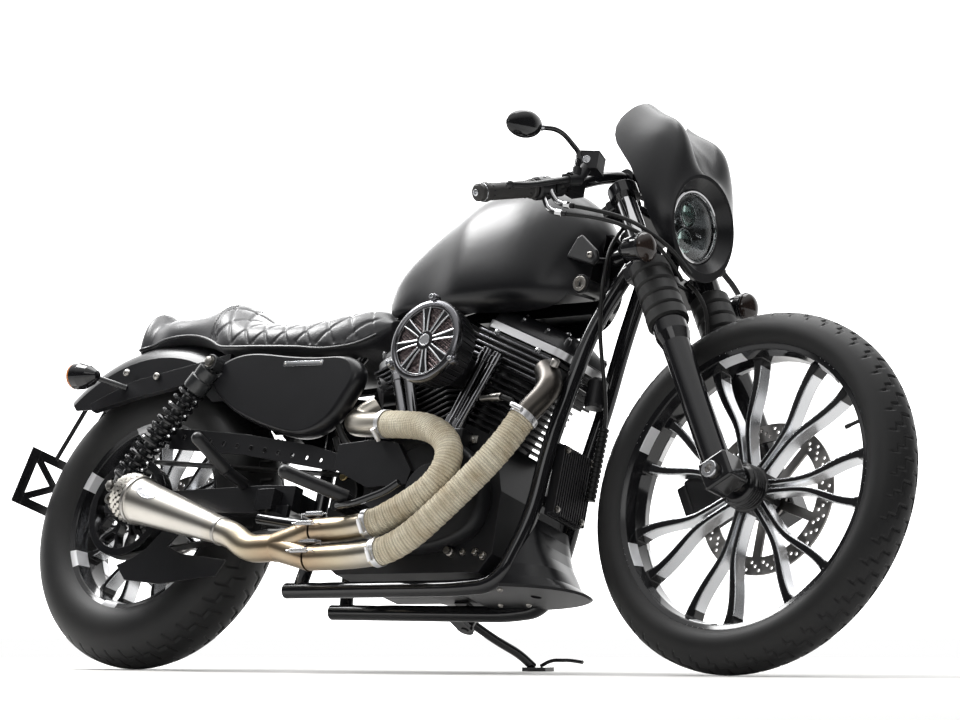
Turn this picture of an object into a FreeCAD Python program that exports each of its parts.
import FreeCAD, Part
import math
import os

os.makedirs("parts", exist_ok=True)

# Driving dimensions in millimetres. The motorcycle is drawn upright: X forward, Y left, Z up,
# the rear axle above x = 0 and the road at z = 0. It is then leaned onto its stand.
WHEELBASE = 1515.0
LEAN = 17.0                  # degrees to the left, on the side stand
STEER = -3.0                 # degrees, front wheel turned a little to the right
RAKE = 30.0
TRAIL_OFFSET = 60.0          # fork legs ahead of the steering axis

FRONT_R, FRONT_W, FRONT_BEAD = 344.4, 100.0, 267.0
REAR_R, REAR_W, REAR_BEAD = 322.4, 150.0, 203.5
FRONT_CROWN, REAR_CROWN = 52.0, 84.0     # radius across the tread

SPOKE_PAIRS = 7
ARM_ANGLE = 10.25            # each arm of a pair from the pair's middle, at the rim
LEG_Y = 98.0                 # fork legs either side of the middle
TUBE_R = 19.5
SLIDER_R = 27.0

CRANK = (835.0, 330.0)       # x and z of the crankshaft
CYLINDER_ANGLE = 22.5        # each cylinder either side of upright
BORE_R = 66.0

SWING_PIVOT = (480.0, 318.0)
SWING_Y = 118.0
SHOCK_Y = 158.0
SHOCK_TOP = (222.0, 612.0)
SHOCK_FOOT = (12.0, 345.0)

RAIL_Y = 82.0                # lower frame rails
STAND_PIVOT = (800.0, 121.0, 138.0)      # upright frame
STAND_FOOT = (850.0, 300.0)  # where the stand meets the road, as parked

SIN_RAKE, COS_RAKE = math.sin(math.radians(RAKE)), math.cos(math.radians(RAKE))
GAP = 0.4                    # running clearance between moving faces
DIP_HALF = 78.0              # half width of the hollow between the two lobes of the fairing


def vec(x, y, z):
    return FreeCAD.Vector(x, y, z)


# point in the plane of the fork: along is up the leg from the front axle
def forkPoint(along, ahead, y):
    x = WHEELBASE - along * SIN_RAKE + ahead * COS_RAKE
    z = FRONT_R + along * COS_RAKE + ahead * SIN_RAKE
    return vec(x, y, z)


# point in one cylinder's own frame: side is 1 for the front cylinder and -1 for the rear
def enginePoint(side, along, across, y):
    lean = math.radians(CYLINDER_ANGLE) * side
    x = CRANK[0] + along * math.sin(lean) + across * math.cos(lean) * side
    z = CRANK[1] + along * math.cos(lean) - across * math.sin(lean) * side
    return vec(x, y, z)


def fuse(shapes):
    first = shapes[0]
    return first.fuse(shapes[1:]) if len(shapes) > 1 else first


def rod(start, end, radius):
    way = end - start
    return Part.makeCylinder(radius, way.Length, start, way)


def pipe(start, end, radius, bore):
    return rod(start, end, radius).cut(rod(start, end, bore))


def cone(start, end, radiusA, radiusB):
    way = end - start
    return Part.makeCone(radiusA, radiusB, way.Length, start, way)


def box(x0, x1, y0, y1, z0, z1):
    return Part.makeBox(x1 - x0, y1 - y0, z1 - z0, vec(x0, y0, z0))


# box centred on a point, its length along xAxis and its height along zAxis
def orientedBox(centre, length, width, height, xAxis, zAxis):
    block = Part.makeBox(length, width, height, vec(-length / 2, -width / 2, -height / 2))
    yAxis = zAxis.cross(xAxis)
    block.Placement = FreeCAD.Placement(centre, FreeCAD.Rotation(xAxis, yAxis, zAxis, "XYZ"))
    return block


def roundedBox(centre, length, width, height, xAxis, zAxis, radius):
    block = Part.makeBox(length, width, height, vec(-length / 2, -width / 2, -height / 2))
    block = block.makeFillet(radius, block.Edges)
    yAxis = zAxis.cross(xAxis)
    block.Placement = FreeCAD.Placement(centre, FreeCAD.Rotation(xAxis, yAxis, zAxis, "XYZ"))
    return block


# flat piece: an outline of (x, z) corners, from y0 to y1
def plate(outline, y0, y1):
    corners = [vec(x, y0, z) for x, z in outline]
    face = Part.Face(Part.makePolygon(corners + corners[:1]))
    return face.extrude(vec(0, y1 - y0, 0))


# panel with a smooth outline that shrinks toward its outer face: steps of (y, scale)
def domed(outline, steps):
    midX = sum(x for x, z in outline) / len(outline)
    midZ = sum(z for x, z in outline) / len(outline)
    rings = []
    for y, scale in steps:
        curve = Part.BSplineCurve()
        curve.interpolate([vec(midX + (x - midX) * scale, y, midZ + (z - midZ) * scale)
                           for x, z in outline], PeriodicFlag=True)
        rings.append(Part.Wire(curve.toShape()))
    return Part.makeLoft(rings, True)


# round piece: a closed outline of (along axis, radius) points turned about the axis
def turned(profile, centre, axis):
    corners = [vec(a, 0, r) for a, r in profile]
    face = Part.Face(Part.makePolygon(corners + corners[:1]))
    solid = face.revolve(vec(0, 0, 0), vec(1, 0, 0), 360)
    solid.Placement = FreeCAD.Placement(centre, FreeCAD.Rotation(vec(1, 0, 0), axis))
    return solid


# straight runs joined by tangent arcs, each as large as its two runs allow
def roundedPath(points, share=0.45):
    edges, last, radii = [], points[0], []
    for before, corner, after in zip(points, points[1:], points[2:]):
        inward, outward = (before - corner), (after - corner)
        run = min(inward.Length, outward.Length) * share
        inward.normalize()
        outward.normalize()
        turn = math.pi - inward.getAngle(outward)
        radius = run / math.tan(turn / 2)
        radii.append(radius)
        first, second = corner + inward * run, corner + outward * run
        middleWay = inward + outward
        middleWay.normalize()
        middle = corner + middleWay * (radius / math.cos(turn / 2) - radius)
        if (first - last).Length > 0.01:
            edges.append(Part.LineSegment(last, first).toShape())
        edges.append(Part.Arc(first, middle, second).toShape())
        last = second
    edges.append(Part.LineSegment(last, points[-1]).toShape())
    return Part.Wire(edges), radii


# round bar or hose along a route of points
def bentBar(points, radius, name=None):
    path, radii = roundedPath(points)
    way = points[1] - points[0]
    ring = Part.Wire(Part.makeCircle(radius, points[0], way))
    bar = path.makePipeShell([ring], True, True)
    if name:
        ideal = math.pi * radius ** 2 * path.Length
        print(name, "length", round(path.Length), "volume ratio", round(bar.Volume / ideal, 4),
              "smallest radius", round(min(radii)))
    return bar


def smoothWire(points):
    curve = Part.BSplineCurve()
    curve.interpolate(points, PeriodicFlag=True)
    return Part.Wire(curve.toShape())


# section across the X axis, widest at zMid, with a hollow along the middle of its top
def eggWire(x, halfWidth, zLow, zMid, zHigh, powerTop, powerLow, dip=0.0, count=28):
    points = []
    for i in range(count):
        angle = 2 * math.pi * (i + 0.5) / count
        c, s = math.cos(angle), math.sin(angle)
        power, rise = (powerTop, zHigh - zMid) if s > 0 else (powerLow, zMid - zLow)
        y = halfWidth * math.copysign(abs(c) ** (2 / power), c)
        z = zMid + rise * math.copysign(abs(s) ** (2 / power), s)
        if s > 0 and abs(y) < DIP_HALF:
            z -= dip * (0.5 + 0.5 * math.cos(math.pi * y / DIP_HALF))
        points.append(vec(x, y, z))
    return smoothWire(points)


# smooth body through sections given as the values of eggWire
def eggLoft(stations):
    return Part.makeLoft([eggWire(*station) for station in stations], True)


# level section with its nose forward, for the belly pan
def hullWire(z, nose, half, power, centreX=940.0, count=28):
    points = []
    for i in range(count):
        angle = 2 * math.pi * (i + 0.5) / count
        c, s = math.cos(angle), math.sin(angle)
        x = centreX + (nose - centreX) * math.copysign(abs(c) ** (2 / power), c)
        points.append(vec(x, half * math.copysign(abs(s) ** (2 / power), s), z))
    return smoothWire(points)


def mirrored(shape):
    return shape.mirror(vec(0, 0, 0), vec(0, 1, 0))


# a piece and its mirror image, left as two solids
def bothSides(shape):
    return Part.makeCompound([shape, mirrored(shape)])


# Wheels, tyres and discs

def tyre(radius, width, bead, crown, rimSizes, centre):
    half = width / 2
    shoulderY = half * 0.78
    shoulderR = radius - crown + math.sqrt(crown ** 2 - shoulderY ** 2)
    wallR = bead + (radius - bead) * 0.50
    beadY = half * 0.70
    tread = Part.Arc(vec(0, -shoulderY, shoulderR), vec(0, 0, radius), vec(0, shoulderY, shoulderR))
    left = Part.Arc(vec(0, shoulderY, shoulderR), vec(0, half, wallR), vec(0, beadY, bead))
    foot = Part.LineSegment(vec(0, beadY, bead), vec(0, -beadY, bead))
    right = Part.Arc(vec(0, -beadY, bead), vec(0, -half, wallR), vec(0, -shoulderY, shoulderR))
    wire = Part.Wire([edge.toShape() for edge in (tread, left, foot, right)])
    solid = Part.Face(wire).revolve(vec(0, 0, 0), vec(0, 1, 0), 360)
    solid = solid.cut(rimShape(*rimSizes))
    solid.translate(centre)
    return solid


# one arm of a split spoke that points up, in the plane of the wheel
def spokeArm(side, hubR, rimR, spread, depth):
    span = rimR - hubR
    middle = [(0.0, 0.19), (0.26, 0.20), (0.43, 0.30), (0.62, 0.62), (0.80, 0.90), (1.0, 1.0)]
    half = [0.13, 0.115, 0.13, 0.165, 0.175, 0.25]
    outer = [vec(side * spread * (m + h), 0, hubR + f * span) for (f, m), h in zip(middle, half)]
    inner = [vec(side * spread * (m - h), 0, hubR + f * span) for (f, m), h in zip(middle, half)]
    edges = []
    for row in (outer, inner):
        curve = Part.BSplineCurve()
        curve.interpolate(row)
        edges.append(curve.toShape())
    edges.append(Part.LineSegment(outer[0], inner[0]).toShape())
    edges.append(Part.LineSegment(outer[-1], inner[-1]).toShape())
    face = Part.Face(Part.Wire(Part.__sortEdges__(edges)))
    arm = face.extrude(vec(0, depth, 0))
    arm.translate(vec(0, -depth / 2, 0))
    return arm


def rimShape(bead, flangeR, halfWidth, innerR):
    lip = 5.0
    slope = bead - innerR
    profile = [(-halfWidth, innerR + slope * 1.6), (-halfWidth, flangeR), (-halfWidth + lip, flangeR),
               (-halfWidth + lip + 1, bead), (halfWidth - lip - 1, bead), (halfWidth - lip, flangeR),
               (halfWidth, flangeR), (halfWidth, innerR + slope * 1.6),
               (halfWidth * 0.9, innerR + slope * 0.6), (halfWidth * 0.4, innerR),
               (-halfWidth * 0.4, innerR), (-halfWidth * 0.9, innerR + slope * 0.6)]
    return turned(profile, vec(0, 0, 0), vec(0, 1, 0))


# rim, split spokes and hub in one casting
def castWheel(centre, rimSizes, hubR, hubEnds, boreR, spokeDepth, turn):
    rim = rimShape(*rimSizes)
    innerR = rimSizes[3]
    right, left = hubEnds
    hubProfile = [(right, boreR), (right, hubR - 10), (right + 6, hubR - 4)]
    ribs = 4
    step = (-18 - right - 8) / ribs
    for i in range(ribs):
        start = right + 8 + i * step
        hubProfile += [(start, hubR - 6), (start + 2, hubR), (start + step - 3, hubR),
                       (start + step - 1, hubR - 6)]
    hubProfile += [(-16, hubR + 2), (16, hubR + 2), (left - 6, hubR - 2), (left, hubR - 6), (left, boreR)]
    hub = turned(hubProfile, vec(0, 0, 0), vec(0, 1, 0))
    spread = innerR * math.sin(math.radians(ARM_ANGLE))
    arms = []
    for i in range(SPOKE_PAIRS):
        for side in (1, -1):
            arm = spokeArm(side, hubR - 6, innerR + 3, spread, spokeDepth)
            arm.rotate(vec(0, 0, 0), vec(0, 1, 0), turn + i * 360.0 / SPOKE_PAIRS)
            arms.append(arm)
    wheel = fuse([rim, hub] + arms)
    wheel.translate(centre)
    return wheel


# drilled ring on a five-armed carrier that sits on the hub's flange
def brakeDisc(centre, outerR, innerR, carrierR, boltR, y0, thick, towardHub, holes):
    ring = pipe(vec(0, y0, 0), vec(0, y0 + thick, 0), outerR, innerR)
    drills = []
    for row, radius in enumerate((innerR + 10, (innerR + outerR) / 2, outerR - 9)):
        for i in range(holes):
            angle = 2 * math.pi * (i + row / 3.0) / holes
            spot = vec(radius * math.cos(angle), y0 - 1, radius * math.sin(angle))
            drills.append(Part.makeCylinder(3.6, thick + 2, spot, vec(0, 1, 0)))
    ring = ring.cut(Part.makeCompound(drills))
    carrier = pipe(vec(0, y0, 0), vec(0, y0 + thick, 0), carrierR, boltR)
    arms = []
    for i in range(5):
        arm = box(carrierR - 6, innerR + 6, y0, y0 + thick, -9, 9)
        arm.rotate(vec(0, 0, 0), vec(0, 1, 0), i * 72 + 20)
        arms.append(arm)
    low, high = sorted((y0 + thick / 2, towardHub))
    sleeve = pipe(vec(0, low, 0), vec(0, high, 0), carrierR - 2, boltR)
    disc = fuse([ring, carrier, sleeve] + arms)
    disc.translate(centre)
    return disc


FRONT_AXLE = vec(WHEELBASE, 0, FRONT_R)
REAR_AXLE = vec(0, 0, REAR_R)
AXLE_R = 10.0
FRONT_HUB = (-52.0, 44.0)    # right and left faces of the hub
REAR_HUB = (-66.0, 66.0)
FRONT_TURN, REAR_TURN = 36.1, 0.0
FRONT_RIM = (FRONT_BEAD, 278.0, 41.0, 256.5)     # bead, flange, half width and inside of the rim
REAR_RIM = (REAR_BEAD, 217.0, 58.0, 191.0)


def frontWheelNodes():
    discFace = FRONT_HUB[1]
    return {
        "front_tyre": tyre(FRONT_R, FRONT_W, FRONT_BEAD, FRONT_CROWN, FRONT_RIM, FRONT_AXLE),
        "front_wheel": castWheel(FRONT_AXLE, FRONT_RIM, 42, FRONT_HUB, AXLE_R + GAP, 30, FRONT_TURN),
        "front_brake_disc": brakeDisc(FRONT_AXLE, 146, 112, 44, 30, discFace, 5, discFace, 30),
    }


def rearWheelNodes():
    pulleyY = -88.0
    teeth = pipe(vec(0, pulleyY - 14, 0), vec(0, pulleyY + 14, 0), 104, 92)
    flange = pipe(vec(0, pulleyY - 17, 0), vec(0, pulleyY - 14, 0), 109, 92)
    arms = []
    for i in range(SPOKE_PAIRS):
        for side in (1, -1):
            arm = spokeArm(side, 34, 94, 25, 20)
            arm.translate(vec(0, pulleyY, 0))
            arm.rotate(vec(0, 0, 0), vec(0, 1, 0), REAR_TURN + i * 360.0 / SPOKE_PAIRS)
            arms.append(arm)
    boss = pipe(vec(0, pulleyY - 12, 0), vec(0, REAR_HUB[0], 0), 40, AXLE_R + 4)
    pulley = fuse([teeth, flange, boss] + arms)
    pulley.translate(REAR_AXLE)
    discFace = REAR_HUB[1]
    return {
        "rear_tyre": tyre(REAR_R, REAR_W, REAR_BEAD, REAR_CROWN, REAR_RIM, REAR_AXLE),
        "rear_wheel": castWheel(REAR_AXLE, REAR_RIM, 44, REAR_HUB, AXLE_R + GAP, 34, REAR_TURN),
        "rear_brake_disc": brakeDisc(REAR_AXLE, 134, 100, 46, 30, discFace + 10, 5, discFace, 28),
        "rear_pulley": pulley,
    }


# Front end, drawn straight ahead

STEM_R = 13.0
MIRROR_HOLE_R, FENDER_HOLE_R = 5.0, 4.0
FENDER_BOSS_Y = -65.0

SLIDER_TOP, GAITER_TOP = 352.0, 500.0
LOWER_YOKE, UPPER_YOKE = 518.0, 678.0
TUBE_TOP = 692.0


def forkNodes():
    up = vec(-SIN_RAKE, 0, COS_RAKE)
    ahead = vec(COS_RAKE, 0, SIN_RAKE)

    slider = fuse([
        rod(forkPoint(-24, 0, -LEG_Y), forkPoint(SLIDER_TOP - 30, 0, -LEG_Y), SLIDER_R),
        cone(forkPoint(SLIDER_TOP - 50, 0, -LEG_Y), forkPoint(SLIDER_TOP - 28, 0, -LEG_Y),
             SLIDER_R, 33),
        rod(forkPoint(SLIDER_TOP - 28, 0, -LEG_Y), forkPoint(SLIDER_TOP, 0, -LEG_Y), 33),
        roundedBox(forkPoint(0, 4, -LEG_Y), 62, 56, 58, ahead, up, 6),
        orientedBox(forkPoint(215, -8, -LEG_Y + 22), 30, 22, 34, ahead, up),
    ])
    slider = slider.cut(rod(vec(WHEELBASE, -150, FRONT_R), vec(WHEELBASE, -40, FRONT_R), AXLE_R))
    slider = slider.cut(rod(forkPoint(215, -8, FENDER_BOSS_Y), forkPoint(215, -8, FENDER_BOSS_Y - 14),
                            FENDER_HOLE_R))

    foldCount = 5
    foldStep = (GAITER_TOP - SLIDER_TOP) / foldCount
    profile = [(0.0, TUBE_R + 0.1), (0.0, 33.0)]
    for i in range(foldCount):
        start = i * foldStep
        radius = 39 if i > 0 else 40
        profile += [(start + 2, radius), (start + foldStep - 7, radius), (start + foldStep - 3, 33.5)]
    profile += [(GAITER_TOP - SLIDER_TOP, 30.0), (GAITER_TOP - SLIDER_TOP, TUBE_R + 0.1)]
    gaiter = turned(profile, forkPoint(SLIDER_TOP, 0, -LEG_Y), up)

    tube = rod(forkPoint(SLIDER_TOP, 0, -LEG_Y), forkPoint(TUBE_TOP, 0, -LEG_Y), TUBE_R)
    cap = turned([(0, 0), (0, 17), (5, 17), (8, 13), (8, 0)], forkPoint(TUBE_TOP, 0, -LEG_Y), up)

    yokes = [yokeShape(LOWER_YOKE, 34), upperYokeShape()]
    stem = rod(forkPoint(LOWER_YOKE - 12, -TRAIL_OFFSET, 0), forkPoint(UPPER_YOKE + 20, -TRAIL_OFFSET, 0),
               STEM_R)
    lampBracket = box(1234, 1248, -14, 14, 782, 866).cut(lampShape())
    yokeSet = fuse(yokes + [stem, lampBracket])

    footFace = LEG_Y - 28.0
    right, left = FRONT_HUB
    axle = fuse([
        rod(vec(WHEELBASE, -LEG_Y - 29, FRONT_R), vec(WHEELBASE, LEG_Y + 29, FRONT_R), AXLE_R),
        rod(vec(WHEELBASE, -LEG_Y - 38, FRONT_R), vec(WHEELBASE, -LEG_Y - 28, FRONT_R), 15),
        rod(vec(WHEELBASE, LEG_Y + 28, FRONT_R), vec(WHEELBASE, LEG_Y + 38, FRONT_R), 15),
        rod(vec(WHEELBASE, -footFace, FRONT_R), vec(WHEELBASE, right - GAP, FRONT_R), 17),
        rod(vec(WHEELBASE, left + GAP, FRONT_R), vec(WHEELBASE, footFace, FRONT_R), 17),
    ])
    axle = axle.cut(rod(vec(WHEELBASE, -LEG_Y - 40, FRONT_R), vec(WHEELBASE, -LEG_Y - 26, FRONT_R), 8))

    caliper = caliperShape()
    return {
        "fork_sliders": bothSides(slider),
        "fork_gaiters": bothSides(gaiter),
        "fork_tubes": bothSides(fuse([tube, cap])),
        "fork_yokes": yokeSet,
        "front_axle": axle,
        "front_brake_caliper": caliper,
    }


# one of the two bridges that clamp the fork tubes and turn on the steering stem
def yokeShape(along, thick):
    up = vec(-SIN_RAKE, 0, COS_RAKE)
    ahead = vec(COS_RAKE, 0, SIN_RAKE)
    low, high = along - thick / 2, along + thick / 2
    pieces = [roundedBox(forkPoint(along, -34, 0), 56, 2 * LEG_Y - 10, thick, ahead, up, 5)]
    for s in (1, -1):
        pieces.append(rod(forkPoint(low, 0, s * LEG_Y), forkPoint(high, 0, s * LEG_Y), 30))
        pieces.append(roundedBox(forkPoint(along, -20, s * 75), 56, 46, thick, ahead, up, 5))
    yoke = fuse(pieces)
    for s in (1, -1):
        yoke = yoke.cut(rod(forkPoint(along - 30, 0, s * LEG_Y), forkPoint(along + 30, 0, s * LEG_Y), TUBE_R))
    return yoke


def upperYokeShape():
    return yokeShape(UPPER_YOKE, 26)


# brake caliper behind the left fork leg, astride the disc
def caliperShape():
    discY = FRONT_HUB[1] + 2.5
    up = vec(-SIN_RAKE, 0, COS_RAKE)
    ahead = vec(COS_RAKE, 0, SIN_RAKE)
    body = roundedBox(forkPoint(70, -112, discY + 1), 62, 52, 104, ahead, up, 7)
    slot = rod(vec(WHEELBASE, discY - 4.5, FRONT_R), vec(WHEELBASE, discY + 4.5, FRONT_R), 149)
    bridge = roundedBox(forkPoint(70, -150, discY + 1), 20, 52, 90, ahead, up, 4)
    lugs = [orientedBox(forkPoint(a, -54, LEG_Y - 27), 70, 16, 26, ahead, up) for a in (40, 100)]
    leg = rod(forkPoint(-24, 0, LEG_Y), forkPoint(SLIDER_TOP, 0, LEG_Y), SLIDER_R)
    return fuse([body, bridge] + lugs).cut(slot).cut(leg)


BAR_ROUTE = [(0, 1128, 992), (-58, 1129, 990), (-120, 1128, 962), (-205, 1124, 912), (-404, 1096, 823)]


def barPoint(index, sign):
    y, x, z = BAR_ROUTE[index]
    return vec(x, y if sign > 0 else -y, z)


def controlNodes():
    up = vec(-SIN_RAKE, 0, COS_RAKE)
    ahead = vec(COS_RAKE, 0, SIN_RAKE)
    right = [barPoint(i, 1) for i in (4, 3, 2, 1)]
    left = [barPoint(i, -1) for i in (1, 2, 3, 4)]
    bar = bentBar(right + left, 12.5)
    risers = []
    for sign in (1, -1):
        foot = forkPoint(UPPER_YOKE + 13, -30, sign * 34)
        head = vec(1128, sign * 34, 991)
        risers.append(cone(foot, head, 16, 14))
        risers.append(rod(head - vec(0, 15, 0), head + vec(0, 15, 0), 20))
    forkTops = [rod(forkPoint(UPPER_YOKE, 0, s * LEG_Y), forkPoint(TUBE_TOP + 9, 0, s * LEG_Y), TUBE_R)
                for s in (1, -1)]
    handlebar = fuse([bar] + risers).cut(upperYokeShape()).cut(Part.makeCompound(forkTops))

    start, end = barPoint(3, 1), barPoint(4, 1)
    along = end - start
    along.normalize()
    gripStart = end - along * 128
    grip = turned([(0, 12.6), (0, 19), (6, 19), (8, 16.5), (118, 16.5), (120, 19), (127, 19),
                   (130, 16), (130, 12.6)], gripStart, along)
    weight = turned([(0, 0), (0, 17), (10, 17), (13, 13), (13, 0)], end + along * 2, along)
    grips = Part.makeCompound([grip, weight, mirrored(grip), mirrored(weight)])

    def onBar(distance, forward, rise):
        return end - along * distance + vec(forward, 0, rise)

    housing = turned([(0, 12.6), (0, 21), (4, 23), (34, 23), (38, 20), (38, 12.6)],
                     end - along * 170, along)
    perch = fuse([
        turned([(0, 12.6), (0, 19), (24, 19), (24, 12.6)], end - along * 200, along),
        rod(onBar(188, 10, 2), onBar(188, 42, 10), 11),
        rod(onBar(206, 38, 10), onBar(168, 44, 10), 12),
        rod(onBar(196, 40, 4), onBar(196, 40, 34), 9),
    ])
    mirrorHole = rod(onBar(196, 40, 20), onBar(196, 40, 36), MIRROR_HOLE_R)
    lever = fuse([
        bentBar([onBar(172, 46, 12), onBar(120, 62, 8), onBar(60, 58, 4), onBar(6, 60, 8)], 6),
        Part.makeSphere(8, onBar(6, 60, 8)),
    ])
    reservoir = fuse([
        orientedBox(onBar(234, 34, 42), 42, 46, 34, vec(0.35, -0.94, 0.0).normalize(), vec(0, 0, 1)),
        rod(onBar(206, 38, 12), onBar(226, 36, 40), 12),
    ])
    switchBox = orientedBox(onBar(232, 2, 0), 30, 40, 36, vec(1, 0, 0), vec(0, 0, 1))
    switchBox = switchBox.cut(rod(end - along * 300, end - along * 150, 12.5))
    elbows = [bentBar([vec(1129, -262, 889), vec(1143, -257, 862), vec(1161, -252, 851),
                       THROTTLE_ROUTES[0][0]], 5),
              bentBar([vec(1118, -266, 880), vec(1136, -270, 846), vec(1152, -265, 831),
                       THROTTLE_ROUTES[1][0]], 5)]
    rightControls = fuse([housing, perch, lever, reservoir, switchBox] + elbows).cut(bar)
    leftControls = mirrored(fuse([housing, perch, lever, switchBox]).cut(mirrorHole).cut(bar))

    stalkFoot = onBar(196, 40, 34)
    mirrorCentre = vec(1165, -398, 956)
    stalk = bentBar([stalkFoot, stalkFoot + vec(4, -4, 28), vec(1168, -300, 985), vec(1166, -360, 965)], 5)
    head = Part.makeSphere(1)
    matrix = FreeCAD.Matrix()
    matrix.scale(vec(15, 50, 27))
    head = head.transformGeometry(matrix)
    head.Placement = FreeCAD.Placement(mirrorCentre, FreeCAD.Rotation(vec(1, 0, 0), 20))
    mirror = fuse([stalk, head])

    return {
        "handlebar": handlebar,
        "grips": grips,
        "hand_controls": Part.makeCompound([rightControls, leftControls]),
        "mirror": mirror,
    }


LAMP_X, LAMP_Z, LAMP_R = 1286.0, 890.0, 73.3      # front of the lens
HOOD_X, HOOD_OPENING = 1305.0, 92.5
HOOD_WALL = 5.0


# body of the fairing through upright sections, each shrunk by inset
def hoodLoft(inset, back, front):
    stations = [(back, 130, 800, 960, 1178, 2.5, 2.0, 16), (1180, 129, 790, 950, 1152, 2.5, 2.0, 32),
                (1215, 126, 785, 940, 1130, 2.6, 2.1, 43), (1250, 120, 781, 925, 1112, 2.8, 2.1, 62),
                (1280, 110, 779, 905, 1072, 2.9, 2.1, 60), (1296, 102, 778, 892, 1022, 2.4, 2.0, 28),
                (front, 98, 779, 885, 990, 2.0, 2.0, 0)]
    return eggLoft([(x, half - inset, low + inset, mid, high - inset, powerTop, powerLow, dip)
                    for x, half, low, mid, high, powerTop, powerLow, dip in stations])


# hood around the headlamp: two lobes, a V cut out of the top, open behind
def fairingShape():
    outer = hoodLoft(0, 1120, HOOD_X)
    shell = outer.cut(hoodLoft(HOOD_WALL, 1119, HOOD_X + 1))
    lip = outer.common(box(HOOD_X - 5, HOOD_X + 1, -200, 200, 700, 1100))
    shell = fuse([shell, lip])
    behind = plate([(1000, 690), (1000, 1210), (1206, 1210), (1174, 1137), (1160, 1114), (1149, 1090),
                    (1146, 1070), (1150, 1050), (1160, 1030), (1204, 978), (1230, 937), (1252, 890),
                    (1268, 853), (1285, 820), (1298, 790), (1298, 690)], -220, 220)
    notchFace = Part.Face(Part.makePolygon([vec(1217, 0, 1040), vec(1100, -171, 1040),
                                            vec(1100, 171, 1040), vec(1217, 0, 1040)]))
    shell = shell.cut(behind).cut(notchFace.extrude(vec(0, 0, 210)))
    shell = shell.cut(rod(vec(HOOD_X - 10, 0, LAMP_Z), vec(HOOD_X + 10, 0, LAMP_Z), HOOD_OPENING))
    recess = turned([(-1, HOOD_OPENING), (-1, 96.5), (-7, 96.5), (-30, 79), (-30, LAMP_R + 0.2),
                     (-22, LAMP_R + 0.2)], vec(HOOD_X, 0, LAMP_Z), vec(1, 0, 0))
    return fuse([shell, recess])


def lampShape():
    profile = [(-62, 0), (-62, 28), (-40, 56), (-16, 69), (-14, LAMP_R), (-4, LAMP_R), (-3, 70), (0, 66),
               (4, 40), (5, 0)]
    return turned(profile, vec(LAMP_X, 0, LAMP_Z), vec(1, 0, 0))


def lampNodes():
    centre = vec(1290, -166, 782)
    up = vec(-SIN_RAKE, 0, COS_RAKE)
    body = turned([(-44, 0), (-40, 9), (-22, 22), (0, 27), (18, 29), (18, 0)], centre, vec(1, 0, 0))
    lens = turned([(18.2, 0), (18.2, 27), (26, 24), (32, 14), (34, 0)], centre, vec(1, 0, 0))
    stalk = rod(centre + vec(-10, 4, 4), forkPoint(LOWER_YOKE, 6, -LEG_Y - 20), 6)
    pad = rod(forkPoint(LOWER_YOKE, 0, -LEG_Y) - up * 40, forkPoint(LOWER_YOKE, 0, -LEG_Y) + up * 40, 30)
    signal = fuse([body, stalk]).cut(pad)
    signals = []
    for piece in (signal, lens):
        signals += [piece, mirrored(piece)]
    return {
        "headlamp": lampShape(),
        "headlamp_fairing": fairingShape(),
        "front_turn_signals": Part.makeCompound(signals),
    }


# Frame and bodywork

def neckSolid():
    low, high = forkPoint(538, -TRAIL_OFFSET, 0), forkPoint(662, -TRAIL_OFFSET, 0)
    return low, high, rod(low, high, 27)


def backboneSolid():
    return rod(vec(1132, 0, 842), vec(586, 0, 744), 24)


def uprightSolid():
    return bentBar([vec(514, -74, 142), vec(514, -60, 220), vec(512, -58, 400), vec(498, -58, 560),
                    vec(524, -46, 660), vec(590, -14, 738)], 14)


# the two tubes from the steering head down in front of the engine and back below it
def cradleTubes():
    tube = bentBar([vec(1160, -26, 806), vec(1114, -52, 668), vec(1094, -60, 545), vec(1069, -61, 420),
                    vec(1062, -63, 284), vec(1022, -78, 148), vec(930, -RAIL_Y - 2, 139),
                    vec(480, -RAIL_Y + 10, 142)], 16)
    return bothSides(tube)


def frameNodes():
    headLow, headHigh, neck = neckSolid()
    stemHole = rod(headLow, headHigh, STEM_R + GAP)
    gusset = plate([(1160, 800), (1130, 866), (1020, 846), (1060, 796)], -6, 6)
    spine = fuse([neck, backboneSolid(), gusset]).cut(stemHole)

    canister = vec(1112, 0, 556)
    crossBar = rod(vec(1100, -62, 560), vec(1100, 62, 560), 6)
    cradles = fuse([cradleTubes().cut(neck).cut(gusset), crossBar])

    rail = rod(vec(930, -RAIL_Y - 2, 139), vec(480, -RAIL_Y + 10, 142), 16)
    seatRail = rod(vec(504, -66, 622), vec(222, -100, 624), 8)
    upright = uprightSolid().cut(rail).cut(backboneSolid())
    horn = turned([(-30, 0), (-30, 17), (-24, 20), (24, 20), (30, 15), (30, 0)], canister, vec(0, 0, 1))
    return {
        "frame_backbone": spine,
        "frame_cradle_tubes": cradles,
        "frame_rear_uprights": bothSides(fuse([upright, seatRail])),
        "frame_canister": horn.cut(crossBar),
    }


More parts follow.
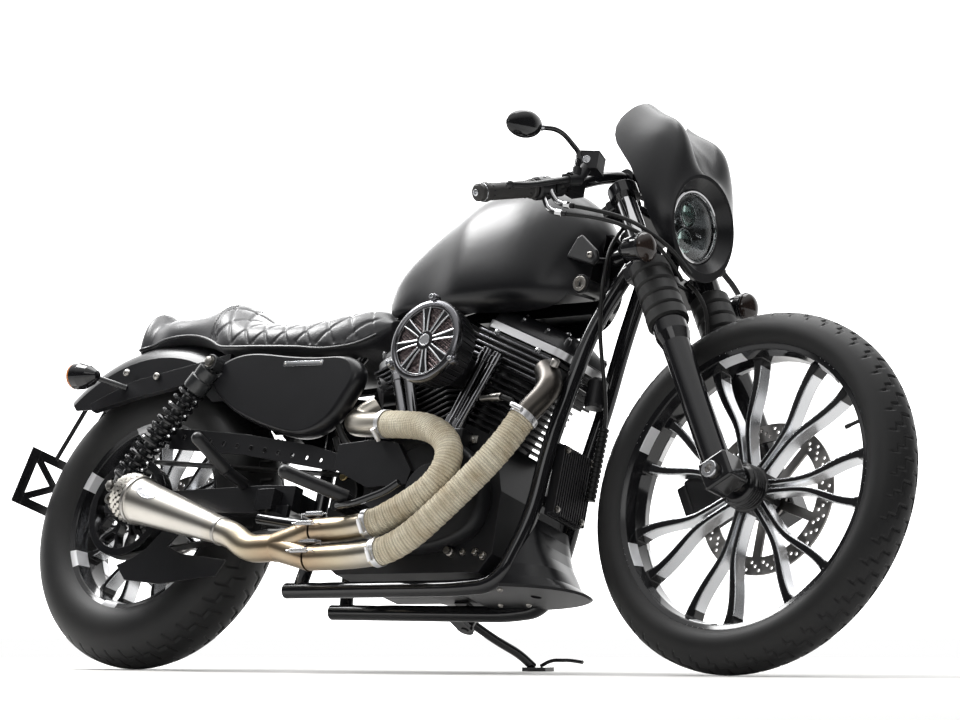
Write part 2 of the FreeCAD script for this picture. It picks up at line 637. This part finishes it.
TANK = [(552, 18, 750, 772, 838, 2.0, 2.4), (570, 37, 741, 770, 853, 2.1, 2.6),
        (610, 60, 732, 768, 882, 2.2, 3.0), (690, 82, 722, 775, 946, 2.2, 3.4),
        (790, 114, 714, 782, 994, 2.3, 3.6), (900, 124, 708, 785, 1001, 2.4, 3.6),
        (1000, 114, 706, 785, 980, 2.4, 3.4), (1056, 84, 712, 785, 936, 2.3, 3.0),
        (1090, 54, 730, 785, 890, 2.2, 2.6)]
SEAT = [(-128, 31, 704, 718, 775, 2.2, 3.0), (-116, 60, 690, 712, 798, 2.2, 4.0),
        (-70, 74, 692, 714, 776, 2.2, 4.0), (-10, 94, 698, 716, 781, 2.2, 4.0),
        (60, 100, 700, 718, 779, 2.2, 4.0), (110, 108, 690, 710, 787, 2.2, 4.0),
        (150, 116, 674, 698, 802, 2.2, 4.0), (190, 124, 654, 680, 782, 2.2, 4.0),
        (225, 128, 650, 674, 757, 2.2, 4.0), (300, 128, 646, 670, 740, 2.2, 4.0),
        (400, 122, 641, 666, 737, 2.2, 4.0), (490, 108, 638, 664, 756, 2.2, 4.0),
        (550, 86, 654, 684, 761, 2.2, 4.0), (598, 54, 700, 718, 733, 2.2, 3.0)]


def tankShape():
    tank = eggLoft(TANK)
    tunnel = plate([(500, 600), (1110, 600), (1110, 886), (1000, 862), (640, 792), (500, 766)], -30, 30)
    rockers = box(560, 1110, -76, 76, 600, 740)
    return tank.cut(tunnel).cut(rockers)


def bodyworkNodes():
    tank = tankShape()
    seatBase = plate([(478, 600), (478, 668), (508, 674), (532, 702), (700, 702), (700, 600)], -66, 66)
    seatTunnel = plate([(530, 700), (574, 752), (640, 830), (700, 830), (700, 700)], -46, 46)
    seat = eggLoft(SEAT).cut(fenderSolid(-GAP, 30, 112)).cut(fuse([seatBase, seatTunnel]))
    seat = seat.cut(eggLoft(TANK))
    seat = max(seat.Solids, key=lambda solid: solid.Volume)

    strut = fuse([
        plate([(224, 650), (224, 602), (190, 600), (-40, 566), (-160, 540), (-170, 558), (-50, 604),
               (180, 642)], -120, -FENDER_HALF - 0.2),
        rod(vec(SHOCK_TOP[0], -172, SHOCK_TOP[1]), vec(SHOCK_TOP[0], -108, SHOCK_TOP[1]), 9),
    ])
    strut = strut.cut(rod(vec(504, -66, 622), vec(222, -100, 624), 8)).cut(
        rod(vec(222, -100, 624), vec(200, -103, 624), 8))
    return {
        "fuel_tank": tank,
        "seat": seat,
        "rear_fender": rearFender(),
        "fender_struts": bothSides(strut),
        "side_covers": bothSides(sideCover()),
    }


FENDER_CROWN_R, FENDER_HALF = 390.0, 104.0


# half-round cross-section of the rear fender, as points of (y, radius from the axle)
def fenderProfile(inset):
    half, crown = FENDER_HALF - inset, FENDER_CROWN_R - inset
    return [(-half, 292), (-half, crown - 52), (-half * 0.72, crown - 14), (0, crown),
            (half * 0.72, crown - 14), (half, crown - 52), (half, 292)]


def fenderSolid(inset, start, sweep):
    pts = [vec(r, y, 0) for y, r in fenderProfile(inset)]
    side0 = Part.LineSegment(pts[0], pts[1]).toShape()
    crown = Part.BSplineCurve()
    crown.interpolate(pts[1:6])
    side1 = Part.LineSegment(pts[5], pts[6]).toShape()
    foot = Part.LineSegment(pts[6], pts[0]).toShape()
    face = Part.Face(Part.Wire([side0, crown.toShape(), side1, foot]))
    solid = face.revolve(vec(0, 0, 0), vec(0, -1, 0), sweep)
    solid.rotate(vec(0, 0, 0), vec(0, -1, 0), start)
    solid.translate(REAR_AXLE)
    return solid


def rearFender():
    shell = fenderSolid(0, 34, 101).cut(fenderSolid(3, 30, 112))
    keep = box(-400, 400, -200, 200, REAR_R + 228, 900)
    return shell.common(keep)


# rounded panel of the oil tank on the right side, under the seat
def sideCover():
    outline = [(222, 612), (262, 630), (395, 627), (540, 615), (603, 603), (622, 578), (607, 530),
               (572, 476), (502, 447), (446, 454), (343, 487), (288, 512), (239, 545), (212, 580)]
    cover = domed(outline, [(-112, 0.97), (-120, 1.0), (-140, 1.0), (-148, 0.97), (-152, 0.90)])
    eye = vec(SHOCK_TOP[0], -SHOCK_Y, SHOCK_TOP[1])
    foot = vec(SHOCK_FOOT[0], -SHOCK_Y, SHOCK_FOOT[1])
    for blocker in (rod(eye, foot, 29), rod(eye - vec(0, 20, 0), eye + vec(0, 17, 0), 21),
                    rod(eye - vec(0, 20, 0), eye + vec(0, 60, 0), 9), box(0, 226, -120.2, -90, 500, 700),
                    rearHeaderPipe()):
        cover = cover.cut(blocker)
    return max(cover.Solids, key=lambda solid: solid.Volume)


# Engine

# finned barrel and head of one cylinder
def cylinderShape(side):
    up = enginePoint(side, 1, 0, 0) - enginePoint(side, 0, 0, 0)
    profile = [(150, 0), (150, BORE_R)]
    finCount, firstFin, pitch = 9, 158.0, 13.0
    for i in range(finCount):
        z = firstFin + i * pitch
        profile += [(z, BORE_R), (z, 104), (z + 4, 104), (z + 4, BORE_R)]
    profile += [(278, BORE_R), (278, 0)]
    origin = vec(CRANK[0], 0, CRANK[1])
    barrel = turned(profile, origin, up).common(box(300, 1300, -86, 86, 200, 900))
    across = enginePoint(side, 0, 1, 0) - enginePoint(side, 0, 0, 0)
    heads = []
    for i in range(5):
        at = enginePoint(side, 284 + i * 12, 0, 0)
        heads.append(orientedBox(at, 196 + 6 * i, 172, 5, across, up))
    core = orientedBox(enginePoint(side, 308, 0, 0), 176, 150, 64, across, up)
    port = rod(enginePoint(side, 300, 80, -40), enginePoint(side, 296, 112, -70), 30)
    low, high = (CRANK[0] + 0.5, 1300) if side > 0 else (300, CRANK[0] - 0.5)
    return fuse([barrel, core, port] + heads).common(box(low, high, -300, 300, 200, 900))


def rockerShape(side):
    up = enginePoint(side, 1, 0, 0) - enginePoint(side, 0, 0, 0)
    across = enginePoint(side, 0, 1, 0) - enginePoint(side, 0, 0, 0)
    lower = roundedBox(enginePoint(side, 351.5, 0, 0), 232, 150, 20, across, up, 4)
    upper = roundedBox(enginePoint(side, 371, 0, 0), 222, 142, 26, across, up, 7)
    cap = roundedBox(enginePoint(side, 388, -6, 0), 186, 116, 18, across, up, 8)
    return fuse([lower, upper, cap])


def camShape():
    outline = [(700, 250), (760, 216), (900, 216), (968, 252), (976, 330), (930, 400), (850, 432),
               (760, 408), (706, 352)]
    cam = domed(outline, [(-92.0, 1.0), (-118, 1.0), (-125, 0.97), (-128, 0.92)])
    boss = rod(vec(CRANK[0] + 18, -142, CRANK[1] - 8), vec(CRANK[0] + 18, -127, CRANK[1] - 8), 52)
    return fuse([cam, boss])


def primaryShape():
    outline = [(560, 240), (640, 200), (860, 178), (960, 210), (1000, 300), (980, 390), (880, 430),
               (700, 408), (590, 370), (545, 300)]
    return domed(outline, [(104, 1.0), (158, 1.0), (168, 0.97), (172, 0.92)])


AIR_CENTRE = (850.0, 598.0)


def crankcaseShape():
    outline = [(560, 205), (620, 168), (980, 168), (1006, 205), (1000, 330), (958, 452), (900, 478),
               (770, 478), (690, 440), (590, 410), (548, 380), (545, 250)]
    case = plate(outline, -92, 104)
    for side in (1, -1):
        case = case.cut(rod(enginePoint(side, 150, 0, 0), enginePoint(side, 420, 0, 0), 106))
    beltPocket = fuse([rod(vec(590, -112, 330), vec(590, -72, 330), 60), box(530, 590, -112, -72, 262, 402)])
    return case.cut(beltPocket)


def engineNodes():
    tubes = []
    for side in (1, -1):
        for across in (-46, -16):
            low = enginePoint(side, 112, across * side * 0.7, -112)
            high = enginePoint(side, 300, across * side, -100)
            way = (high - low).normalize()
            tubes.append(fuse([rod(low, high, 11), rod(low + way * 22, low + way * 36, 13),
                               rod(high - way * 26, high - way * 10, 13)]))
    blocks, blockOf = [], []
    for side in (1, -1):
        middle = enginePoint(side, 104, -20 * side, -109)
        blocks.append(roundedBox(middle, 92, 34, 40, vec(1, 0, 0), vec(0, 0, 1), 6))
        blockOf += [blocks[-1]] * 2
    ax, az = AIR_CENTRE
    cleaner = turned([(150, 0), (150, 62), (168, 78), (214, 84), (226, 76), (226, 70), (218, 68),
                      (218, 0)], vec(ax, 0, az), vec(0, -1, 0))
    throat = rod(vec(ax - 10, -151, az - 14), vec(ax - 10, -88, az - 14), 34)
    cleaner = fuse([cleaner, throat])
    return {
        "crankcase": crankcaseShape(),
        "cam_cover": fuse([camShape()] + blocks),
        "primary_cover": primaryShape(),
        "cylinders": Part.makeCompound([cylinderShape(1), cylinderShape(-1)]),
        "rocker_covers": Part.makeCompound([rockerShape(1), rockerShape(-1)]),
        "pushrod_tubes": Part.makeCompound([tube.cut(block) for tube, block in zip(tubes, blockOf)]),
        "air_cleaner": cleaner,
    }


# Exhaust

HEADER_R = 25.0


def rearHeaderPipe():
    return bentBar([vec(618, -66, 528), vec(588, -92, 492), vec(626, -122, 471), vec(760, -152, 456),
                    vec(862, -160, 442), vec(926, -168, 390), vec(918, -182, 318), vec(852, -190, 268),
                    vec(768, -200, 222), vec(645, -200, 222)], HEADER_R)


def exhaustNodes():
    frontHeader = bentBar([vec(1046, -82, 578), vec(1082, -102, 548), vec(1082, -115, 513),
                           vec(1058, -136, 467), vec(1035, -158, 392), vec(954, -180, 283),
                           vec(866, -197, 187), vec(772, -201, 166), vec(645, -201, 166)], HEADER_R)
    for blocker in (cylinderShape(1), rockerShape(1)):
        frontHeader = frontHeader.cut(blocker)
    frontHeader = max(frontHeader.Solids, key=lambda solid: solid.Volume)
    rearHeader = rearHeaderPipe().cut(cylinderShape(-1))
    rearHeader = max(rearHeader.Solids, key=lambda solid: solid.Volume)
    start, end = vec(396, -203, 226), vec(112, -205, 306)
    way = (end - start).normalize()
    length = (end - start).Length
    join = []
    for z, y, endX, endR in ((166, -201, 556, 29), (222, -200, 551, 29.4)):
        rings = [Part.Wire(Part.makeCircle(HEADER_R + 1, vec(644.8, y, z), vec(-1, 0, 0))),
                 Part.Wire(Part.makeCircle(endR, vec(endX, -200, 190), vec(-1, 0, 0)))]
        join.append(Part.makeLoft(rings, True))
    bend = bentBar([vec(566, -200, 190), vec(478, -200, 188), start - way * 34, start], 27.5)
    collector = fuse(join + [bend])
    muffler = turned([(0.2, 28), (8, 28), (length - 40, 47), (length - 34, 50), (length - 6, 49),
                      (length + 10, 41), (length + 10, 37), (length - 30, 34), (length - 30, 0), (0.2, 0)],
                     start, way)
    return {
        "exhaust_headers": Part.makeCompound([frontHeader, rearHeader.cut(frontHeader)]),
        "exhaust_collector": collector,
        "muffler": muffler,
    }


# Rear suspension and drive

def rearNodes():
    px, pz = SWING_PIVOT
    arm = plate([(px + 20, pz + 26), (px + 20, pz - 26), (px - 60, pz - 30), (40, REAR_R - 22),
                 (-36, REAR_R - 20), (-40, REAR_R + 20), (40, REAR_R + 20), (px - 60, pz + 30)],
                -SWING_Y - 12, -SWING_Y + 12)
    arm = arm.cut(rod(vec(0, -200, REAR_R), vec(0, 0, REAR_R), AXLE_R))
    cross = rod(vec(px - 14, -SWING_Y - 12, pz), vec(px - 14, SWING_Y + 12, pz), 24)
    cross = box(px - 60, px + 10, -SWING_Y + 6, SWING_Y - 6, pz - 20, pz + 20).fuse(cross)
    swingarm = fuse([arm, mirrored(arm), cross])

    top = vec(SHOCK_TOP[0], -SHOCK_Y, SHOCK_TOP[1])
    foot = vec(SHOCK_FOOT[0], -SHOCK_Y, SHOCK_FOOT[1])
    way = foot - top
    length = way.Length
    way.normalize()
    profile = [(14, 0), (14, 24), (62, 24), (62, 14)]
    coils, firstCoil = 9, 70.0
    pitch = (length - 34 - firstCoil) / coils
    for i in range(coils):
        z = firstCoil + i * pitch
        profile += [(z, 14), (z + 2, 27), (z + 8, 27), (z + 10, 14)]
    profile += [(length - 30, 14), (length - 30, 22), (length - 12, 22), (length - 12, 0)]
    shock = turned(profile, top, way)
    eyes = [rod(p - vec(0, 15, 0), p + vec(0, 15, 0), r) for p, r in ((top, 17), (foot, 13))]
    shock = fuse([shock] + eyes)
    shock = shock.cut(rod(vec(top.x, -200, top.z), vec(top.x, -100, top.z), 9))
    stud = rod(vec(foot.x, -SHOCK_Y - 18, foot.z), vec(foot.x, -SWING_Y - 12, foot.z), 9)
    shock = shock.cut(stud)
    lug = plate([(foot.x - 20, foot.z + 14), (foot.x + 20, foot.z + 14), (foot.x + 34, REAR_R + 12),
                 (foot.x - 30, REAR_R + 12)], -SWING_Y - 12, -SWING_Y + 12)
    swingarm = fuse([swingarm, lug, mirrored(lug), stud, mirrored(stud)])

    axle = fuse([
        rod(vec(0, -150, REAR_R), vec(0, 150, REAR_R), AXLE_R),
        rod(vec(0, -160, REAR_R), vec(0, -130, REAR_R), 12),
        rod(vec(0, 130, REAR_R), vec(0, 156, REAR_R), 12),
        rod(vec(0, -SWING_Y + 12, REAR_R), vec(0, REAR_HUB[0] - GAP, REAR_R), 13),
        rod(vec(0, REAR_HUB[1] + GAP, REAR_R), vec(0, SWING_Y - 12, REAR_R), 13),
    ])
    axle = axle.cut(rod(vec(0, -170, REAR_R), vec(0, -140, REAR_R), 6.5))
    return {
        "swingarm": swingarm,
        "shocks": bothSides(shock),
        "rear_axle": axle,
    }


def driveNodes():
    upper = plate([(110, 486), (112, 440), (330, 418), (596, 372), (600, 408), (520, 430), (330, 462)],
                  -128.5, -124.5)
    for i in range(11):
        spot = vec(150 + i * 40, -135, 464 - i * 6.6)
        upper = upper.cut(Part.makeCylinder(5, 20, spot, vec(0, 1, 0)))
    sprocket = plate([(604, 424), (604, 372), (700, 330), (800, 334), (806, 362), (760, 420),
                      (690, 430)], -142, -128.5)
    lower = plate([(18, 190), (50, 158), (150, 148), (309, 163), (330, 197), (200, 212), (154, 230),
                   (178, 254), (136, 268), (96, 226), (60, 205)], -112, -108)
    beltY0, beltY1 = -100.0, -76.0
    pulleyR, sprocketR = 105.5, 46.0
    sx, sz = 590.0, 330.0
    wheel = Part.makeCylinder(pulleyR + 4, beltY1 - beltY0, vec(0, beltY0, REAR_R), vec(0, 1, 0))
    small = Part.makeCylinder(sprocketR + 4, beltY1 - beltY0, vec(sx, beltY0, sz), vec(0, 1, 0))
    spanTop = plate([(0, REAR_R + pulleyR + 4), (sx, sz + sprocketR + 4), (sx, sz - sprocketR - 4),
                     (0, REAR_R - pulleyR - 4)], beltY0, beltY1)
    outer = fuse([wheel, small, spanTop])
    inner = fuse([
        Part.makeCylinder(pulleyR, 40, vec(0, beltY0 - 5, REAR_R), vec(0, 1, 0)),
        Part.makeCylinder(sprocketR, 40, vec(sx, beltY0 - 5, sz), vec(0, 1, 0)),
        plate([(0, REAR_R + pulleyR), (sx, sz + sprocketR), (sx, sz - sprocketR), (0, REAR_R - pulleyR)],
              beltY0 - 5, beltY1 + 5)])
    belt = outer.cut(inner)
    return {
        "belt_guards": Part.makeCompound([upper, sprocket, lower]),
        "drive_belt": belt,
    }


# Stand, pegs and small pieces on the frame

def fittingNodes():
    riderPeg = fuse([
        rod(vec(688, -92, 290), vec(716, -214, 286), 9),
        rod(vec(716, -208, 286), vec(640, -312, 305), 14),
        Part.makeSphere(14, vec(640, -312, 305)),
    ])
    pegMount = fuse([
        rod(vec(356, -130, 352), vec(354, -192, 362), 12),
        rod(vec(354, -188, 362), vec(330, -262, 405), 13),
        Part.makeSphere(13, vec(330, -262, 405)),
    ])
    regulator = fuse([box(1079, 1087, -50, 50, 296, 440)] +
                     [box(1086, 1101, -50 + i * 7.0, -47.2 + i * 7.0, 300, 436) for i in range(15)] +
                     [box(1058, 1080, -50, 50, z, z + 14) for z in (318, 405)])
    oilHoses = []
    for route in OIL_ROUTES:
        oilHoses.append(bentBar(route, 7, "oil hose"))
    rightPeg = riderPeg.cut(camShape()).cut(box(500, 1100, -92, 0, 200, 400))
    leftPeg = mirrored(riderPeg).cut(primaryShape()).cut(box(500, 1100, 0, 140, 200, 400))
    return {
        "foot_pegs": Part.makeCompound([rightPeg, leftPeg, pegMount, mirrored(pegMount)]),
        "belly_pan": bellyPan(),
        "voltage_regulator": regulator.cut(cradleTubes()),
        "oil_hoses": Part.makeCompound(oilHoses),
    }


OIL_ROUTES = [[vec(570, -118, 474), vec(590, -116, 440), vec(632, -114, 414), vec(672, -112, 404)],
              [vec(556, -104, 452), vec(574, -104, 416), vec(618, -102, 386), vec(668, -104, 374)]]


# chin scoop under the front of the engine: flat below, open on top and behind
def bellyPan():
    levels = [(145, 1176, 80, 2.2), (149, 1180, 86, 2.3), (166, 1146, 87, 2.6), (190, 1124, 85, 3.2),
              (215, 1101, 82, 4.0), (240, 1085, 79, 5.0), (264, 1075, 77, 6.0), (296, 1069, 76, 6.0)]
    outer = Part.makeLoft([hullWire(*level) for level in levels], True, True)
    inner = Part.makeLoft([hullWire(z, nose - 5, half - 4, power) for z, nose, half, power in
                           [(149, 1172, 82, 2.2)] + levels[2:-1] + [(297, 1069, 76, 6.0)]], True, True)
    openTop = plate([(700, 140), (880, 140), (915, 151), (955, 175), (990, 200), (1030, 231), (1060, 260),
                     (1064, 285), (1130, 285), (1130, 310), (700, 310)], -200, 200)
    openBack = box(600, 885, -200, 200, 100, 400)
    drain = Part.makeCylinder(11, 20, vec(1062, -6, 140), vec(0, 0, 1))
    pan = outer.cut(inner).cut(openTop).cut(openBack).cut(drain).cut(cradleTubes())
    pan = pan.cut(crankcaseShape())
    return max(pan.Solids, key=lambda solid: solid.Volume)


# blank plate bracket, turn signals, coil cover, key switch and cables on the frame
def bracketNodes():
    bottom, top = vec(-371, 0, 354), vec(-344, 0, 468)
    rise = top - bottom
    side = vec(0, 1, 0)
    def strip(start, end, width=11, thick=4):
        way = end - start
        length = way.Length
        way.normalize()
        normal = rise.cross(side)
        normal.normalize()
        return orientedBox((start + end) * 0.5, length + width, width, thick, way, normal)
    corners = [bottom - side * 94, bottom + side * 94, top + side * 94, top - side * 94]
    strips = [strip(a, b) for a, b in zip(corners, corners[1:] + corners[:1])]
    strips += [strip(corners[3], bottom), strip(corners[2], bottom)]
    strips += [rod(top + side * y, vec(-276, y, 604), 5) for y in (-26, 26)]
    plateFrame = fuse(strips).cut(rearFender())

    centre = vec(-150, -176, 600)
    body = turned([(-18, 0), (-18, 29), (0, 29), (24, 22), (44, 9), (48, 0)], centre, vec(1, 0, 0))
    lens = turned([(-18.2, 0), (-18.2, 28), (-27, 24), (-33, 12), (-34, 0)], centre, vec(1, 0, 0))
    stalk = rod(centre + vec(20, 0, 0), vec(-70, -118, 590), 6)
    tailSignal = fuse([body, stalk]).cut(box(-400, 400, -120, 0, 400, 800))

    coil = plate([(1070, 851), (1081, 856), (1123, 820), (1129, 804), (1118, 790), (1051, 812)], -94, -84)
    coil = coil.makeFillet(3, coil.Edges)
    coilArm = fuse([rod(vec(1100, -85, 812), vec(1100, -60, 812), 7),
                    rod(vec(1100, -64, 812), vec(1100, 0, 836), 6)])
    coil = fuse([coil, coilArm]).cut(tankShape()).cut(backboneSolid())
    key = fuse([rod(vec(1098, -26, 760), vec(1098, -84, 752), 15),
                rod(vec(1098, -84, 752), vec(1098, -92, 751), 19)])
    tab = plate([(1070, 800), (1086, 834), (1108, 834), (1112, 752), (1086, 744)], -27, -21)
    keySwitch = fuse([key, tab]).cut(coil).cut(backboneSolid()).cut(tankShape())
    cable = bentBar(CLUTCH_ROUTE, 4, "clutch_cable")
    foot = CLUTCH_ROUTE[-1]
    profile = [(0.0, 0), (0.0, 10)]
    for i in range(14):
        profile += [(i * 10.0 + 6, 10), (i * 10.0 + 7, 8), (i * 10.0 + 9, 8), (i * 10.0 + 10, 10)]
    profile += [(144, 10), (144, 0)]
    sleeve = turned(profile, foot, vec(-12, 13, -131).normalize())
    clip = rod(vec(1122, 31, 478), vec(1080, 60, 474), 5).cut(cradleTubes())
    return {
        "plate_bracket": plateFrame,
        "rear_turn_signals": Part.makeCompound([tailSignal, mirrored(tailSignal), lens, mirrored(lens)]),
        "ignition_pieces": Part.makeCompound([coil, keySwitch]),
        "clutch_cable": cable,
        "cable_holders": fuse([sleeve, clip]),
    }


CLUTCH_ROUTE = [vec(1152, -46, 896), vec(1140, -68, 852), vec(1138, -76, 804), vec(1140, -74, 724),
                vec(1141, -56, 648), vec(1143, -18, 567), vec(1130, 21, 513), vec(1124, 29, 495)]


def rearControlNodes():
    pedal = fuse([
        rod(vec(700, -132, 267), vec(700, -218, 267), 10),
        bentBar([vec(700, -212, 267), vec(760, -232, 264), vec(838, -237, 284), vec(868, -237, 302)], 7),
        rod(vec(700, -150, 266), vec(706, -150, 236), 6),
    ])
    master = fuse([
        box(424, 470, -158, -130, 286, 330),
        rod(vec(440, -150, 268), vec(560, -150, 252), 12),
        rod(vec(560, -150, 252), vec(700, -150, 240), 5),
        box(440, 500, -140, -130, 250, 300),
    ])
    shift = fuse([
        rod(vec(700, 160, 262), vec(700, 206, 262), 9).cut(primaryShape()),
        bentBar([vec(700, 198, 262), vec(760, 204, 268), vec(820, 206, 300), vec(850, 206, 306)], 6),
        rod(vec(846, 200, 306), vec(850, 262, 308), 9),
    ])
    caliper = fuse([
        box(96, 150, 62, 104, 268, 340).cut(box(60, 145, 73.5, 83.5, 200, 400)),
        box(140, 176, 88, 106, 290, 330),
    ])
    return {
        "foot_controls": Part.makeCompound([fuse([pedal, master]), shift]),
        "rear_brake_caliper": caliper,
    }


THROTTLE_ROUTES = [
    [vec(1185, -245, 848), vec(1219, -206, 850), vec(1264, -168, 841), vec(1306, -134, 816),
     vec(1334, -98, 788), vec(1334, -54, 768)],
    [vec(1178, -255, 829), vec(1214, -222, 833), vec(1250, -186, 829), vec(1288, -150, 815),
     vec(1322, -112, 784), vec(1324, -62, 752)]]


# throttle cables and front brake hose, carried round with the handlebar
def hoseNodes():
    cables = []
    for route in THROTTLE_ROUTES:
        cables.append(bentBar(route, 4, "throttle cable"))
    hose = bentBar([forkPoint(500, 8, 20), forkPoint(470, 20, 30), forkPoint(420, 10, 48),
                    forkPoint(330, -40, 58), forkPoint(240, -70, 56), forkPoint(180, -98, 50),
                    forkPoint(122.5, -112, 47.5)], 4, "front_brake_hose")
    return {
        "throttle_cables": Part.makeCompound(cables),
        "front_brake_hose": hose,
    }


# Side stand

# pivot and foot in the parked frame, and the fold axis
def standPlacement():
    pivot = parked.multVec(vec(*STAND_PIVOT))
    foot = vec(STAND_FOOT[0], STAND_FOOT[1], 9)
    back = parked.Rotation.multVec(vec(-1, 0.05, 0.0))
    leg = (foot - pivot).normalize()
    axis = leg.cross(back).normalize()
    return pivot, foot, axis


def standNode():
    pivot, foot, axis = standPlacement()
    way = (foot - pivot).normalize()
    start = pivot + way * 4
    leg = bentBar([start, start + way * 70, foot - way * 40 + vec(0, 0, 6), foot], 9)
    boss = rod(pivot - axis * 14, pivot + axis * 14, 16)
    pad = orientedBox(vec(foot.x + 8, foot.y + 6, 4), 52, 40, 8, vec(1, 0.2, 0).normalize(), vec(0, 0, 1))
    tab = bentBar([vec(foot.x + 6, foot.y + 16, 10), vec(foot.x + 20, foot.y + 34, 22),
                   vec(foot.x + 62, foot.y + 44, 22), vec(foot.x + 90, foot.y + 46, 18)], 4)
    stand = fuse([leg, boss, pad, tab])
    bore = rod(pivot - axis * 40, pivot + axis * 40, 8 + GAP)
    return stand.cut(bore)


def standMount():
    pivot, foot, axis = standPlacement()
    up = parked.Rotation.multVec(vec(0, 0, 1))
    inward = parked.Rotation.multVec(vec(0, -1, 0))
    inward = (inward - axis * inward.dot(axis)).normalize()
    pin = rod(pivot - axis * 24, pivot + axis * 24, 8)
    plates = [rod(pivot + axis * s * 15, pivot + axis * s * 22, 18) for s in (1, -1)]
    lugs = [orientedBox(pivot + axis * s * 18.5 + inward * 20, 40, 34, 7, inward, axis) for s in (1, -1)]
    mount = fuse([pin] + plates + lugs)
    rail = parked.multVec(vec(930, RAIL_Y + 2, 139)), parked.multVec(vec(480, RAIL_Y - 10, 142))
    return mount.cut(rod(rail[0], rail[1], 16)).cut(placed(crankcaseShape(), parked))


# Placing the motorcycle as it parks

# height of the lowest point of a tyre whose wheel turns about the given axis
def wheelFoot(centre, axis, radius, crown):
    return centre.z - (radius - crown) * math.sqrt(1 - axis.z ** 2) - crown


# turn of the front assembly about the steering axis
def steering():
    foot = forkPoint(0, -TRAIL_OFFSET, 0)
    turn = FreeCAD.Rotation(vec(-SIN_RAKE, 0, COS_RAKE), STEER)
    return FreeCAD.Placement(vec(0, 0, 0), turn, foot)


# lean, and the small pitch and drop that put both tyres on the road
def parking():
    lean = FreeCAD.Placement(vec(0, 0, 0), FreeCAD.Rotation(vec(1, 0, 0), -LEAN))
    steer = steering()
    rearCentre = lean.multVec(REAR_AXLE)
    rearAxis = lean.Rotation.multVec(vec(0, 1, 0))
    frontCentre = lean.multVec(steer.multVec(FRONT_AXLE))
    frontAxis = lean.Rotation.multVec(steer.Rotation.multVec(vec(0, 1, 0)))
    rearLow = wheelFoot(rearCentre, rearAxis, REAR_R, REAR_CROWN)
    frontLow = wheelFoot(frontCentre, frontAxis, FRONT_R, FRONT_CROWN)
    pitch = math.degrees(math.asin((frontLow - rearLow) / (frontCentre.x - rearCentre.x)))
    tip = FreeCAD.Placement(vec(0, 0, 0), FreeCAD.Rotation(vec(0, 1, 0), pitch))
    level = tip.multiply(lean)
    rearLow = wheelFoot(level.multVec(REAR_AXLE), level.Rotation.multVec(vec(0, 1, 0)), REAR_R, REAR_CROWN)
    return FreeCAD.Placement(vec(0, 0, -rearLow), FreeCAD.Rotation()).multiply(level)


parked = parking()
steered = parked.multiply(steering())


def placed(shape, placement):
    moved = shape.copy()
    moved.Placement = placement.multiply(moved.Placement)
    return moved


# centre in X and Y of everything, and the lowest Z, from a fine mesh
def middleOfBox(shapes):
    points = []
    for shape in shapes:
        points += shape.tessellate(0.3)[0]
    low = [min(p[i] for p in points) for i in range(3)]
    high = [max(p[i] for p in points) for i in range(3)]
    print("size", [round(b - a, 1) for a, b in zip(low, high)], "lowest", round(low[2], 3))
    return vec((low[0] + high[0]) / 2, (low[1] + high[1]) / 2, low[2])


# the first of each pair is cut away where the second runs
MEETING_PAIRS = [("cable_holders", "clutch_cable"), ("foot_controls", "foot_pegs"),
                 ("front_brake_caliper", "fork_sliders"), ("hand_controls", "mirror"),
                 ("hand_controls", "throttle_cables"), ("side_covers", "oil_hoses"),
                 ("front_brake_caliper", "front_brake_hose"), ("frame_canister", "clutch_cable")]


def build():
    chassis, front = {}, {}
    for group in (frameNodes, bodyworkNodes, engineNodes, exhaustNodes, rearNodes, driveNodes,
                  fittingNodes, bracketNodes, rearControlNodes, rearWheelNodes):
        chassis.update(group())
    for group in (forkNodes, controlNodes, lampNodes, hoseNodes, frontWheelNodes):
        front.update(group())
    nodes = {name: placed(shape, parked) for name, shape in chassis.items()}
    nodes.update({name: placed(shape, steered) for name, shape in front.items()})
    nodes["side_stand"] = standNode()
    nodes["stand_mount"] = standMount()
    for cutNode, byNode in MEETING_PAIRS:
        nodes[cutNode] = nodes[cutNode].cut(nodes[byNode])
    origin = middleOfBox(nodes.values())
    shift = FreeCAD.Placement(vec(-origin.x, -origin.y, -origin.z), FreeCAD.Rotation())
    return {name: placed(shape, shift) for name, shape in nodes.items()}, shift


def main():
    nodes, shift = build()
    for name, shape in nodes.items():
        if not shape.isValid():
            print("not valid:", name)
        shape.exportStep("parts/" + name + ".step")
    return nodes, shift


if __name__ == "__main__":
    main()
